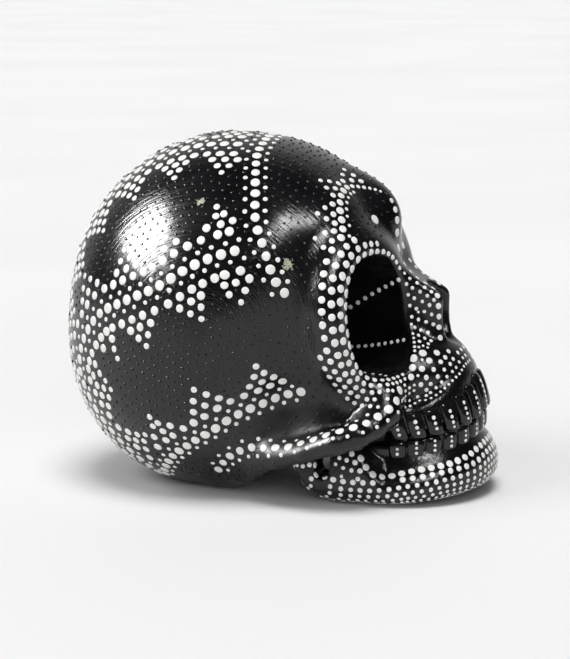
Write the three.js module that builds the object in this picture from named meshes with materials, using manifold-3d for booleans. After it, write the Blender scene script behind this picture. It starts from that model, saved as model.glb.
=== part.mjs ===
// Dotted skull ornament: a hollow fired-clay skull with its lower jaw and a full set of teeth.
// Millimetres, +Z up, the face looks along -Y, the object is symmetric about x = 0 and rests on z = 0.
import * as THREE from 'three';
import { mergeVertices } from 'three/addons/utils/BufferGeometryUtils.js';
import Module from 'manifold-3d';

const wasm = await Module();
wasm.setup();

// ---- driving dimensions -------------------------------------------------------------------
const GAP = 0.3;                     // clearance between neighbouring pieces

const WRAP_CENTRE = [0, 0, 50];      // the outer skin is cast outwards from this point
const WRAP_DETAIL = 11;
const HOLLOW_DETAIL = 4;

// ellipsoids of the head: centre, radii, blend with what comes before it
const VAULT = { at: [0, 14, 56], r: [49, 56, 57.5] };
const LOW_BACK = { at: [0, 26, 38], r: [40, 41, 38], blend: 14 };
const FOREHEAD = { at: [0, -4, 82], r: [34, 27, 23], blend: 14 };
const BROW = { at: [17, -25, 82], r: [16, 11, 10], blend: 10 };
const FACE = { at: [0, -25, 48], r: [28, 17, 32], blend: 10 };
const MAXILLA = { at: [0, -41, 38], r: [21, 21, 14], blend: 8 };
const TEMPLE_PINCH = { at: [61, -24, 56], r: [17, 22, 28], blend: 12 };
const HOLLOW = { at: [0, 28, 56.5], r: [42, 36, 51] };   // leaves a clay wall of about 6
const VENT = { radius: 8, y: 14, top: 40 };              // firing vent in the flat of the back

const ORBIT_RING = { at: [22, -31, 60], r: [16.5, 21], tube: 6, yaw: 24 };
const SOCKET = { at: [21.6, -30, 60], r: [14, 20, 19] };

const NOSE_WIDTH = 16;
const NOSE_BEVEL = 1.5;
const NOSE_SIDE = [[-30, 76], [-41, 73.5], [-56, 66.5], [-57.5, 47], [-30, 47]];   // y, z round the side
const NOSTRIL = { at: [0, -56, 57.5], r: [5.5, 14, 10] };

// middle of the cheek arch on the +x side, front to back, and half its width and height
const CHEEK_ARCH = [[20, -38, 34], [30, -35, 28.5], [36, -26, 23], [38.5, -12, 18.5], [37, 2, 14], [28, 16, 8]];
const CHEEK_HALF = { wide: 8, tall: 5 };

// dental arc: half an ellipse, open towards the back; angles run from the side (0) to the front (90)
const ARC = { y: -40, rx: 24, ry: 24 };
const FIRST_TOOTH_ANGLE = 1;
const BACKING_ANGLE = -25;
const BACKING_THICKNESS = 9;
const TOOTH_DEPTH = 7;
const TOOTH_BEVEL = 1;
const TOOTH_CORNER = 1.2;
const TOOTH_NAMES = [
  'second_molar', 'first_molar', 'second_premolar', 'first_premolar', 'canine', 'lateral_incisor', 'central_incisor',
];
const BITE_SIDE = 20;                // height of the bite line at the back teeth
const BITE_RISE = 7.5;               // how much higher it is at the front
const UPPER_GUM_SIDE = 30;
const UPPER_GUM_RISE = 12;
const LOWER_TOOTH = 7.5;             // height of a lower tooth at the side, and what the front ones add
const LOWER_TOOTH_EXTRA = 1.5;

// lower jaw: a wall that follows the chin and runs straight back to the jaw corners
const JAW = { rx: 32.5, ry: 31.7, y: -38, backY: -6, wall: 12, swell: 1.6, corner: 11 };
const JAW_RIM_SIDE = 10;
const JAW_RIM_RISE = 6;
const RAMUS_TOP = 17;
const RAMUS_RISE = [-38, -31];       // y range in which the rim climbs to the ramus
const NOTCH = { y: -23, halfWidth: 3, floor: 9 };
const JAW_STEPS = 48;

const BLACK_PAINT = { color: 0x0b0b0c, roughness: 0.18, metalness: 0 };
const TOOTH_PAINT = { color: 0x111113, roughness: 0.16, metalness: 0 };

// ---- solids -------------------------------------------------------------------------------
function toSolid(geometry) {
  const plain = geometry.index ? geometry.clone() : geometry;
  for (const name of Object.keys(plain.attributes)) {
    if (name !== 'position') plain.deleteAttribute(name);
  }
  const merged = mergeVertices(plain, 1e-4);
  const mesh = new wasm.Mesh({
    numProp: 3,
    vertProperties: Float32Array.from(merged.attributes.position.array),
    triVerts: Uint32Array.from(merged.index.array),
  });
  return new wasm.Manifold(mesh);
}

function toGeometry(solid) {
  const mesh = solid.getMesh();
  const geometry = new THREE.BufferGeometry();
  geometry.setAttribute('position', new THREE.BufferAttribute(Float32Array.from(mesh.vertProperties), 3));
  geometry.setIndex(Array.from(mesh.triVerts));
  geometry.computeVertexNormals();
  return geometry;
}

const mirrored = (build) => build(1).add(build(-1));

// drops the thin slivers that a cut can leave beside the piece itself
function largestBody(solid) {
  return solid.decompose().reduce((best, body) => (body.volume() > best.volume() ? body : best));
}

const radians = THREE.MathUtils.degToRad;
const mix = THREE.MathUtils.lerp;
const clamp01 = (value) => THREE.MathUtils.clamp(value, 0, 1);

// ---- fields of the head -------------------------------------------------------------------
function ellipsoidField(p, { at, r }) {
  const q = [p[0] - at[0], p[1] - at[1], p[2] - at[2]];
  const k0 = Math.hypot(q[0] / r[0], q[1] / r[1], q[2] / r[2]);
  const k1 = Math.hypot(q[0] / r[0] ** 2, q[1] / r[1] ** 2, q[2] / r[2] ** 2);
  return k1 < 1e-9 ? -Math.min(...r) : k0 * (k0 - 1) / k1;
}

function smoothJoin(a, b, k) {
  const h = clamp01(0.5 + 0.5 * (b - a) / k);
  return mix(b, a, h) - k * h * (1 - h);
}

const smoothCut = (a, b, k) => -smoothJoin(-a, b, k);

// an oval ring round the eye socket, lying in a plane turned by the ring's yaw
function ringField(p) {
  const { at, r, tube } = ORBIT_RING;
  const yaw = radians(ORBIT_RING.yaw);
  const along = (p[0] - at[0]) * Math.cos(yaw) + (p[1] - at[1]) * Math.sin(yaw);
  const off = -(p[0] - at[0]) * Math.sin(yaw) + (p[1] - at[1]) * Math.cos(yaw);
  const oval = ellipsoidField([along, 0, p[2] - at[2]], { at: [0, 0, 0], r: [r[0], 1e6, r[1]] });
  return Math.hypot(oval, off) - tube;
}

function headField(x, y, z) {
  const p = [Math.abs(x), y, z];
  let d = ellipsoidField(p, VAULT);
  for (const part of [LOW_BACK, FOREHEAD, BROW, FACE]) {
    d = smoothJoin(d, ellipsoidField(p, part), part.blend);
  }
  d = smoothCut(d, ellipsoidField(p, TEMPLE_PINCH), TEMPLE_PINCH.blend);
  d = smoothJoin(d, ringField(p), ORBIT_RING.tube);
  return smoothJoin(d, ellipsoidField(p, MAXILLA), MAXILLA.blend);
}

const hollowField = (x, y, z) => ellipsoidField([x, y, z], HOLLOW);

// casts every vertex of an icosphere outwards from the centre onto the field's surface
function wrap(field, centre, detail) {
  const sphere = new THREE.IcosahedronGeometry(1, detail);
  sphere.deleteAttribute('normal');
  sphere.deleteAttribute('uv');
  const geometry = mergeVertices(sphere, 1e-5);
  const position = geometry.attributes.position;
  const ray = new THREE.Vector3();
  const at = (t) => field(centre[0] + ray.x * t, centre[1] + ray.y * t, centre[2] + ray.z * t);
  for (let i = 0; i < position.count; i += 1) {
    ray.fromBufferAttribute(position, i).normalize();
    let low = 0;
    while (at(low + 1) < 0) low += 1;
    let high = low + 1;
    for (let step = 0; step < 20; step += 1) {
      const middle = (low + high) / 2;
      if (at(middle) < 0) low = middle; else high = middle;
    }
    position.setXYZ(i, centre[0] + ray.x * low, centre[1] + ray.y * low, centre[2] + ray.z * low);
  }
  return toSolid(geometry);
}

// ---- shared shapes ------------------------------------------------------------------------
function ellipsoidSolid({ at, r }, side = 1, yaw = 0) {
  const geometry = new THREE.SphereGeometry(1, 20, 14);
  geometry.scale(...r);
  geometry.rotateZ(radians(side * yaw));
  geometry.translate(side * at[0], at[1], at[2]);
  return toSolid(geometry);
}

function floorBlock() {
  const geometry = new THREE.BoxGeometry(200, 300, 40);
  geometry.translate(0, 0, -20);
  return toSolid(geometry);
}

function roundedRectangle(width, height, corner) {
  const x = width / 2;
  const y = height / 2;
  const shape = new THREE.Shape();
  shape.moveTo(-x + corner, -y);
  shape.lineTo(x - corner, -y);
  shape.absarc(x - corner, -y + corner, corner, -Math.PI / 2, 0);
  shape.absarc(x - corner, y - corner, corner, 0, Math.PI / 2);
  shape.absarc(-x + corner, y - corner, corner, Math.PI / 2, Math.PI);
  shape.absarc(-x + corner, -y + corner, corner, Math.PI, Math.PI * 1.5);
  return shape;
}

// point of the dental arc on the +x half, and the same curve moved inwards
function arcPoint(degrees, inset = 0) {
  const a = radians(degrees);
  return [(ARC.rx - inset) * Math.cos(a), ARC.y - (ARC.ry - inset) * Math.sin(a)];
}

// 0 at the side of the dental arc, 1 at its front
const frontness = (degrees) => clamp01((degrees > 90 ? 180 - degrees : degrees) / 90);
const biteHeight = (degrees) => BITE_SIDE + BITE_RISE * frontness(degrees) ** 1.6;
const upperGum = (degrees) => UPPER_GUM_SIDE + UPPER_GUM_RISE * frontness(degrees) ** 1.8;
const lowerGum = (degrees) => biteHeight(degrees) - LOWER_TOOTH - LOWER_TOOTH_EXTRA * frontness(degrees);

// ---- teeth --------------------------------------------------------------------------------
function toothPlace(side, index, upper) {
  const pitch = (90 - FIRST_TOOTH_ANGLE) / TOOTH_NAMES.length;
  const degrees = FIRST_TOOTH_ANGLE + (index + 0.5) * pitch;
  const [x, y] = arcPoint(degrees);
  const low = upper ? biteHeight(degrees) + GAP : lowerGum(degrees);
  const high = upper ? upperGum(degrees) : biteHeight(degrees) - GAP;
  return {
    position: [side * x, y, (low + high) / 2],
    yaw: side * (90 - degrees),
    width: ARC.rx * radians(pitch) - GAP,
    height: high - low,
  };
}

// a rounded block standing up, its broad face towards -Y, narrower at the back like a keystone
function toothShape({ width, height }) {
  const flat = 2 * TOOTH_BEVEL;
  const shape = roundedRectangle(width - flat, height - flat, TOOTH_CORNER);
  const depth = TOOTH_DEPTH - flat;
  const settings = {
    depth, curveSegments: 1, bevelSize: TOOTH_BEVEL, bevelThickness: TOOTH_BEVEL, bevelSegments: 1,
  };
  const geometry = new THREE.ExtrudeGeometry(shape, settings);
  geometry.translate(0, 0, -depth / 2);
  geometry.rotateX(Math.PI / 2);
  const position = geometry.attributes.position;
  for (let i = 0; i < position.count; i += 1) {
    position.setX(i, position.getX(i) * (1 - position.getY(i) / ARC.rx));
  }
  return geometry;
}

function buildTooth(side, index, upper) {
  const place = toothPlace(side, index, upper);
  const mesh = new THREE.Mesh(toGeometry(toSolid(toothShape(place))), new THREE.MeshStandardMaterial(TOOTH_PAINT));
  mesh.name = `${upper ? 'upper' : 'lower'}_${side < 0 ? 'right' : 'left'}_${TOOTH_NAMES[index]}`;
  mesh.position.set(...place.position);
  mesh.rotation.z = radians(place.yaw);
  return mesh;
}

// the seat that a tooth leaves in the bone behind it, one gap larger all round
function toothSeat(side, index, upper) {
  const place = toothPlace(side, index, upper);
  const size = [place.width, TOOTH_DEPTH, place.height].map((length) => length + 2 * GAP);
  const geometry = new THREE.BoxGeometry(...size);
  geometry.rotateZ(radians(place.yaw));
  geometry.translate(...place.position);
  return toSolid(geometry);
}

function cutSeats(solid, upper) {
  let result = solid;
  for (const side of [-1, 1]) {
    TOOTH_NAMES.forEach((name, index) => {
      result = result.subtract(toothSeat(side, index, upper));
    });
  }
  return result;
}

// the bone behind one row of teeth: a wall along the dental arc between two height functions
function toothBacking(bottom, top) {
  const geometry = new THREE.BoxGeometry(1, 1, 1, 20, 1, 1);
  const position = geometry.attributes.position;
  for (let i = 0; i < position.count; i += 1) {
    const degrees = mix(BACKING_ANGLE, 180 - BACKING_ANGLE, position.getX(i) + 0.5);
    const inset = TOOTH_DEPTH / 2 - 1 + (0.5 - position.getY(i)) * BACKING_THICKNESS;
    const [x, y] = arcPoint(degrees, inset);
    position.setXYZ(i, x, y, position.getZ(i) < 0 ? bottom(degrees) : top(degrees));
  }
  return toSolid(geometry);
}

// ---- cranium ------------------------------------------------------------------------------
// a flattened rod along the curve of the cheek, broad side level
function cheekArch(side) {
  const path = new THREE.CatmullRomCurve3(CHEEK_ARCH.map(([x, y, z]) => new THREE.Vector3(side * x, y, z)));
  const geometry = new THREE.CylinderGeometry(1, 1, 1, 12, 12);
  const position = geometry.attributes.position;
  for (let i = 0; i < position.count; i += 1) {
    const t = position.getY(i) + 0.5;
    const tangent = path.getTangent(t);
    const level = new THREE.Vector3(tangent.y, -tangent.x, 0).normalize();
    const upright = new THREE.Vector3().crossVectors(level, tangent);
    const point = path.getPoint(t).addScaledVector(level, position.getX(i) * CHEEK_HALF.wide);
    point.addScaledVector(upright, position.getZ(i) * CHEEK_HALF.tall);
    position.setXYZ(i, point.x, point.y, point.z);
  }
  return toSolid(geometry);
}

function noseBridge() {
  const shape = new THREE.Shape(NOSE_SIDE.map(([y, z]) => new THREE.Vector2(y, z)));
  const settings = {
    depth: NOSE_WIDTH - 2 * NOSE_BEVEL, bevelSize: NOSE_BEVEL, bevelThickness: NOSE_BEVEL, bevelSegments: 1,
  };
  const geometry = new THREE.ExtrudeGeometry(shape, settings);
  geometry.rotateX(Math.PI / 2);
  geometry.rotateZ(Math.PI / 2);
  geometry.translate(NOSE_BEVEL - NOSE_WIDTH / 2, 0, 0);
  return toSolid(geometry);
}

function firingVent() {
  const geometry = new THREE.CylinderGeometry(VENT.radius, VENT.radius, VENT.top + 5, 24);
  geometry.rotateX(Math.PI / 2);
  geometry.translate(0, VENT.y, (VENT.top - 5) / 2);
  return toSolid(geometry);
}

function buildCranium() {
  let solid = wrap(headField, WRAP_CENTRE, WRAP_DETAIL);
  solid = solid.add(noseBridge()).add(mirrored(cheekArch));
  solid = solid.add(toothBacking((degrees) => biteHeight(degrees) + GAP, (degrees) => upperGum(degrees) + 4));
  solid = solid.subtract(mirrored((side) => ellipsoidSolid(SOCKET, side, ORBIT_RING.yaw)));
  solid = solid.subtract(ellipsoidSolid(NOSTRIL));
  solid = cutSeats(solid, true);
  solid = solid.subtract(wrap(hollowField, HOLLOW.at, HOLLOW_DETAIL)).subtract(firingVent());
  return largestBody(solid.subtract(floorBlock()));
}

// ---- lower jaw ----------------------------------------------------------------------------
// outer edge of the jaw seen from above: along runs 0 to 1 from one jaw corner round the chin to the other
function jawEdge(along, inset) {
  const leg = JAW.y - JAW.backY;
  const quarter = (Math.PI / 2) * (JAW.rx + JAW.ry) / 2;
  const half = -leg + quarter;
  const side = along < 0.5 ? 1 : -1;
  const travelled = (along < 0.5 ? along : 1 - along) * 2 * half;
  if (travelled < -leg) return [side * (JAW.rx - inset), JAW.backY - travelled];
  const a = (travelled + leg) / quarter * Math.PI / 2;
  return [side * (JAW.rx - inset) * Math.cos(a), JAW.y - (JAW.ry - inset) * Math.sin(a)];
}

function jawRim(y) {
  const chin = clamp01((JAW.y - 8 - y) / (JAW.ry - 11)) ** 1.3;
  const climb = THREE.MathUtils.smoothstep(y, ...RAMUS_RISE);
  const plain = mix(JAW_RIM_SIDE + JAW_RIM_RISE * chin, RAMUS_TOP, climb);
  const dip = Math.exp(-(((y - NOTCH.y) / NOTCH.halfWidth) ** 2));
  return mix(plain, Math.min(plain, NOTCH.floor), dip);
}

function jawUnderside(y) {
  const past = Math.max(0, y - (JAW.backY - JAW.corner));
  return JAW.corner - Math.sqrt(JAW.corner ** 2 - past ** 2);
}

function jawWall() {
  const geometry = new THREE.BoxGeometry(1, 1, 1, JAW_STEPS, 1, 4);
  const position = geometry.attributes.position;
  for (let i = 0; i < position.count; i += 1) {
    const up = position.getZ(i) + 0.5;
    const across = position.getY(i) + 0.5;
    const swell = JAW.swell * (1 - (2 * up - 1) ** 2) * (2 * across - 1);
    const [x, y] = jawEdge(position.getX(i) + 0.5, (1 - across) * JAW.wall - swell);
    position.setXYZ(i, x, y, mix(jawUnderside(y), jawRim(y), up));
  }
  return toSolid(geometry);
}

function buildMandible(cranium) {
  const backing = toothBacking(() => JAW_RIM_SIDE / 2, (degrees) => biteHeight(degrees) - GAP);
  const solid = cutSeats(jawWall().add(backing), false);
  return largestBody(solid.subtract(cranium.translate(0, 0, -GAP)));
}

// ---- assembly -----------------------------------------------------------------------------
function buildPiece(name, solid) {
  const mesh = new THREE.Mesh(toGeometry(solid), new THREE.MeshStandardMaterial(BLACK_PAINT));
  mesh.name = name;
  return mesh;
}

const cranium = buildCranium();
const skull = new THREE.Group();
skull.add(buildPiece('cranium', cranium));
skull.add(buildPiece('mandible', buildMandible(cranium)));
for (const upper of [true, false]) {
  for (const side of [-1, 1]) {
    TOOTH_NAMES.forEach((name, index) => skull.add(buildTooth(side, index, upper)));
  }
}

export default skull;
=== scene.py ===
"""Black dotted skull ornament: its smooth skin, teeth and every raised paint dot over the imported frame.

Shapes are worked out in millimetres in the row's frame: +Z up, the face looks along -Y, and x = 0 is
the middle plane. The patterns are laid out on the +x side and mirrored.
"""
import math
import bpy
import numpy as np
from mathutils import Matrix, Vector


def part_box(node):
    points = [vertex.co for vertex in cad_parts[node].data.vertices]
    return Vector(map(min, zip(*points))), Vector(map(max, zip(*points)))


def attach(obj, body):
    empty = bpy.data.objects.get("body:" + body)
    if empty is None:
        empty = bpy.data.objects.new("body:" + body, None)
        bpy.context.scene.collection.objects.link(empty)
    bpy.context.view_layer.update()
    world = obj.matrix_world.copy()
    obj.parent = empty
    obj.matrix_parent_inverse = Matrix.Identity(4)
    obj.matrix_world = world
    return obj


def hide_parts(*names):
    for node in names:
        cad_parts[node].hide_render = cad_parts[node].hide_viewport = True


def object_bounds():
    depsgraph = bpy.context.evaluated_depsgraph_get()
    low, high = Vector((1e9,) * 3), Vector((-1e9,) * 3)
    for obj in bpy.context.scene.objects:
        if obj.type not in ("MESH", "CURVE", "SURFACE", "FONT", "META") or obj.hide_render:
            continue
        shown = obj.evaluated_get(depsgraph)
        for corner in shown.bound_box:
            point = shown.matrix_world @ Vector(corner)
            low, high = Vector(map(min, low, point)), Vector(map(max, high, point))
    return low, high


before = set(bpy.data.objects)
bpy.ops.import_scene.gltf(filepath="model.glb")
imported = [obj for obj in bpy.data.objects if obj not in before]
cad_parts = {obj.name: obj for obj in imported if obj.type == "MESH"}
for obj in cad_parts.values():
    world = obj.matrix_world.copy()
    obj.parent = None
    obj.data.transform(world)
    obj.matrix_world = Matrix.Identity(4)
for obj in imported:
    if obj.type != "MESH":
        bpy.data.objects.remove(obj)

import openvdb
from mathutils import Vector

CAD_BOX = [list(corner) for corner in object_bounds()]

# ---- scale, from the frame ----------------------------------------------------------------------
DESIGN_LENGTH = 142.6                # the skull's length in the units used below
MM = (CAD_BOX[1][1] - CAD_BOX[0][1]) / DESIGN_LENGTH
rng = np.random.default_rng(11)      # for the small unevenness of dots set by hand

# ---- camera -------------------------------------------------------------------------------------
VIEW_AZIMUTH, VIEW_ELEVATION = -76.0, 10.0
VIEW_DISTANCE = 0.700                # metres
VIEW_LENS = 115.87                   # on a 36 mm sensor
VIEW_SHIFT = (0.00099, 0.04835)      # metres right of and above the line through the row's origin


def toward(azimuth, elevation):
    """The direction that a camera or light at these angles lies in."""
    a, e = math.radians(azimuth), math.radians(elevation)
    return Vector((math.sin(a) * math.cos(e), -math.cos(a) * math.cos(e), math.sin(e)))


def make_camera():
    data = bpy.data.cameras.new("camera")
    camera = bpy.data.objects.new("camera", data)
    bpy.context.scene.collection.objects.link(camera)
    bpy.context.scene.camera = camera
    back = toward(VIEW_AZIMUTH, VIEW_ELEVATION)
    turn = (-back).to_track_quat("-Z", "Y")
    right, up = turn.to_matrix().col[0], turn.to_matrix().col[1]
    data.sensor_width = 36
    data.lens = VIEW_LENS
    data.clip_start = 0.01
    data.clip_end = 100
    camera.rotation_mode = "QUATERNION"
    camera.rotation_quaternion = turn
    camera.location = back * VIEW_DISTANCE + right * VIEW_SHIFT[0] + up * VIEW_SHIFT[1]


make_camera()

# ---- distance fields ----------------------------------------------------------------------------
# Each takes points as an array (..., 3) and gives about the distance to the shape, negative inside.


def ellipsoid(p, centre, radii):
    q = p - np.array(centre, float)
    r = np.array(radii, float)
    k0 = np.sqrt(np.sum((q / r) ** 2, -1))
    k1 = np.sqrt(np.sum((q / r ** 2) ** 2, -1))
    return k0 * (k0 - 1) / np.maximum(k1, 1e-9)


def squarish(p, centre, radii, power):
    """An ellipsoid with fuller corners as power goes over 2."""
    q = np.abs(p - np.array(centre, float)) + 1e-6
    r = np.array(radii, float)
    k0 = np.sum((q / r) ** power, -1) ** (1 / power)
    steepness = k0 ** (1 - power) * np.sqrt(np.sum((q ** (power - 1) / r ** power) ** 2, -1))
    return (k0 - 1) / np.maximum(steepness, 1 / r.max())


def turned(p, centre, yaw):
    """Points in a frame at centre, turned about +Z."""
    c, s = math.cos(math.radians(yaw)), math.sin(math.radians(yaw))
    q = p - np.array(centre, float)
    return np.stack([q[..., 0] * c + q[..., 1] * s, -q[..., 0] * s + q[..., 1] * c, q[..., 2]], -1)


def block(p, half, radius):
    q = np.abs(p) - (np.array(half, float) - radius)
    outside = np.sqrt(np.sum(np.maximum(q, 0) ** 2, -1))
    return outside + np.minimum(np.max(q, -1), 0) - radius


def rod(p, start, end, r_start, r_end):
    a, b = np.array(start, float), np.array(end, float)
    along = np.clip(((p - a) @ (b - a)) / np.dot(b - a, b - a), 0, 1)
    away = p - a - along[..., None] * (b - a)
    return np.sqrt(np.sum(away ** 2, -1)) - (r_start + (r_end - r_start) * along)


def rods(p, ridge, blend):
    """A run of tapered rods: ridge is a list of (point, radius)."""
    d = None
    for (start, r_start), (end, r_end) in zip(ridge, ridge[1:]):
        piece = rod(p, start, end, r_start, r_end)
        d = piece if d is None else join(d, piece, blend)
    return d


def join(a, b, blend):
    """a and b as one, with the seam between them filled over about the width of blend."""
    h = np.clip(0.5 + 0.5 * (b - a) / blend, 0, 1)
    return b + (a - b) * h - blend * h * (1 - h)


def cut(a, b, blend):
    """a without b."""
    return -join(-a, b, blend)


def common(a, b, blend):
    """What a and b share."""
    return -join(-a, -b, blend)


def oval(x, y, rx, ry):
    k0 = np.sqrt((x / rx) ** 2 + (y / ry) ** 2)
    k1 = np.sqrt((x / rx ** 2) ** 2 + (y / ry ** 2) ** 2)
    return k0 * (k0 - 1) / np.maximum(k1, 1e-9)


def folded(p):
    """Points of the -x side moved to the +x side."""
    q = p.copy()
    q[..., 0] = np.abs(q[..., 0])
    return q


# ---- the skull ----------------------------------------------------------------------------------
HEAD_PARTS = [                       # centre, radii, blend with the parts before it
    ((0, 14.5, 56), (49, 55.5, 57.5), 1),        # vault
    ((0, 25, 38), (40, 40, 37), 14),             # low back of the head
    ((0, -3, 81), (34, 25, 22), 14),             # forehead
    ((15, -18, 82), (14, 10, 11), 10),           # brow
    ((0, -22.5, 87), (9, 16.2, 13), 8),          # middle of the forehead
    ((0, -24, 48), (28, 17, 32), 10),            # core of the face
    ((0, -14, 30), (38, 27, 18), 10),            # root of the cheek arch
]
# single ellipsoids, as centre and radii
TEMPLE = ((61, -24, 56), (17, 22, 28))           # cut off the side of the head beside the eye
MAXILLA = ((0, -41, 38), (21, 22, 15))           # upper jaw bone
NOSTRIL = ((0, -56, 58), (5.5, 14, 10))
UNDERSIDE = ((0, -30, 2), (36, 38, 22))          # room over the tongue
JAW_SPACE = ((0, -26, 4), (48, 21, 15.5))        # room for the lower jaw
HOLLOW = ((0, 28, 56.5), (42, 36, 51))           # inside of the clay shell
VENT_Y, VENT_RADIUS = 14, 8          # the firing vent goes straight down from the hollow

# the rim round an eye is an oval ring: yaw in degrees, lean in mm further back per mm of height
RING_CENTRE, RING_YAW, RING_LEAN = (22.0, -30.5, 59.0), 24, 0.1
RING_RADII, RING_TUBE = (16.5, 21.0), 5.8
SOCKET_CENTRE, SOCKET_RADII = (22.5, -36, 58.4), (13.9, 22, 18.6)
SOCKET_FULLNESS = 2.6                # 2 would make the socket an ellipsoid

CHEEK_RIDGE = [                      # the cheek bone and its arch: points and radii of a run of rods
    ((27, -40, 33.5), 5.0), ((30, -40.8, 29.5), 4.6), ((34.5, -37.8, 26.3), 4.3), ((39, -33.5, 24), 4.1),
    ((41.3, -27, 22.2), 4.0), ((40.8, -17, 19.2), 3.9), ((38.2, -8, 16.0), 3.6), ((33, 0, 12.4), 3.2),
    ((26.5, 6, 8.6), 2.8), ((20, 12, 6.0), 2.6),
]
# rods cut out of the side of the head above the arch
FOSSA_RIDGE = [((41, -22, 33), 4.5), ((43.5, -12, 31.5), 7.5), ((47.5, 1, 28.5), 6.5)]
NOSE_CENTRE, NOSE_HALF = (0, -43, 60), (8.0, 11.5, 11)      # a block, its centre and half sizes
TOOTH_ARC_Y, TOOTH_ARC_R = -40, 24   # the row of teeth is an arc ahead of this y, straight behind it
UPPER_LEAN = 0.3                     # how much further back the upper teeth are per mm of height


def eye_rim(p):
    """The thick rim round an eye socket."""
    q = turned(p, RING_CENTRE, RING_YAW)
    return np.hypot(oval(q[..., 0], q[..., 2], *RING_RADII), q[..., 1] - RING_LEAN * q[..., 2]) - RING_TUBE


def nose_bridge(p):
    """A block with a roof that slopes down forwards."""
    d = block(p - np.array(NOSE_CENTRE, float), NOSE_HALF, 3)
    roof = (p[..., 2] - 71) * 0.87 + (-p[..., 1] - 41) * 0.5
    return common(d, roof, 2)


def frontness(y):
    """0 at the side of the row of teeth, 1 at its front."""
    return np.clip((TOOTH_ARC_Y - y) / TOOTH_ARC_R, 0, 1)


def bite(y):
    """Height of the line where the teeth meet."""
    return 20 + 7.5 * frontness(y) ** 1.6


def tooth_wall(x, y, reach_out, reach_in):
    """A wall along the row of teeth, from reach_in inside its line to reach_out outside."""
    away = oval(x, np.minimum(y - TOOTH_ARC_Y, 0), TOOTH_ARC_R, TOOTH_ARC_R)
    return np.maximum(away - reach_out, -away - reach_in)


def upper_gum(p):
    """The gum that the upper teeth stand in."""
    x, z = p[..., 0], p[..., 2]
    y = p[..., 1] - UPPER_LEAN * (z - 33)
    d = common(tooth_wall(x, y, 1.3, 6), z - (30 + 11 * frontness(y) ** 1.8), 4)
    d = common(d, bite(y) + 1.5 - z, 1.5)
    return common(d, y + 37, 3)


def head_skin(p):
    """Outside of the cranium without its openings."""
    d = None
    for centre, radii, blend in HEAD_PARTS:
        part = ellipsoid(p, centre, radii)
        d = part if d is None else join(d, part, blend)
    d = cut(d, ellipsoid(p, *TEMPLE), 12)
    d = join(d, eye_rim(p), 6)
    d = join(d, rods(p, CHEEK_RIDGE, 1), 9)
    d = join(d, ellipsoid(p, *MAXILLA), 8)
    d = join(d, upper_gum(p), 3)
    return join(d, nose_bridge(p), 4)


def socket(p):
    """The eye socket, with a straight edge beside the nose."""
    opening = squarish(turned(p, SOCKET_CENTRE, RING_YAW), (0, 6, 0), SOCKET_RADII, SOCKET_FULLNESS)
    return common(opening, -(p[..., 1] + 0.25 * p[..., 0] + 41.5), 2)


def head(point):
    """Outside of the cranium with its openings, on both sides."""
    p = folded(point)
    d = cut(head_skin(p), socket(p), 2.5)
    d = cut(d, ellipsoid(p, *NOSTRIL), 2)
    d = cut(d, rods(p, FOSSA_RIDGE, 4), 8)
    d = cut(d, ellipsoid(p, *UNDERSIDE), 6)
    d = cut(d, ellipsoid(p, *JAW_SPACE), 3)
    return common(d, -p[..., 2], 1.5)


# ---- the lower jaw ------------------------------------------------------------------------------
JAW_Y = -38                          # the jaw is an arc ahead of this, and straight behind it
JAW_RX, JAW_RY, JAW_WALL = 32.0, 31.3, 12
JAW_SWELL, JAW_SWELL_Z = 0.05, 9     # its side bulges by this part of its width, at this height
JAW_RIM_SIDE, JAW_RIM_RISE = 9.5, 6.0            # the rim's height at the side, its rise in front
JAW_RAMUS_RISE = 14.5                # how much it rises behind
CHIN_LIFT = 3.0                      # the chin's underside is this far off the table
NOTCH = ((34, -21.2, 24.0), (16, 2.2, 15.2))     # the slit in the ramus: centre, half sizes


def jaw(point):
    """The lower jaw: a wall round the chin, a gum on it for the teeth, and a notched ramus behind."""
    p = folded(point)
    x, y, z = p[..., 0], p[..., 1], p[..., 2]
    ahead = np.minimum(y - JAW_Y, 0)
    swell = 1 + JAW_SWELL * np.clip(1 - ((z - JAW_SWELL_Z) / JAW_SWELL_Z) ** 2, -1, 1)
    outline = oval(x / swell, ahead / swell, JAW_RX, JAW_RY)
    wall = np.abs(outline + JAW_WALL / 2) - JAW_WALL / 2
    front = np.clip((-y - 44) / 24, 0, 1)
    behind = np.clip((y + 41) / 11, 0, 1)
    top = JAW_RIM_SIDE + JAW_RIM_RISE * front ** 1.3 + JAW_RAMUS_RISE * behind ** 1.4
    d = common(wall, z - top, 6)
    gum = common(tooth_wall(x, y, 3.8, 5), z - (13.6 + 4.4 * frontness(y)), 3)
    gum = join(gum, common(tooth_wall(x, y, 2.5, 5), z - bite(y) + 1.5, 1.5), 2)
    d = join(d, common(gum, y + 34, 3), 5)
    lift = CHIN_LIFT * np.clip((-y - 42) / 28, 0, 1) ** 1.2
    d = common(d, lift - z, 5)
    corner = np.hypot(np.maximum(y + 28, 0) / 18, np.minimum(z - 20, 0) / 21) * 18 - 18
    d = common(d, corner, 3)
    notch = block(p - np.array(NOTCH[0]), NOTCH[1], 2.0)
    return cut(d, notch, 1.5)


def hollow(p):
    """The inside of the cranium and the firing vent under it."""
    inside = ellipsoid(p, *HOLLOW)
    shaft = np.maximum(np.hypot(p[..., 0], p[..., 1] - VENT_Y) - VENT_RADIUS, p[..., 2] - 40)
    return join(inside, shaft, 3)


def cranium(p):
    """The whole clay shell."""
    return cut(head(p), hollow(p), 1.5)


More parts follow.
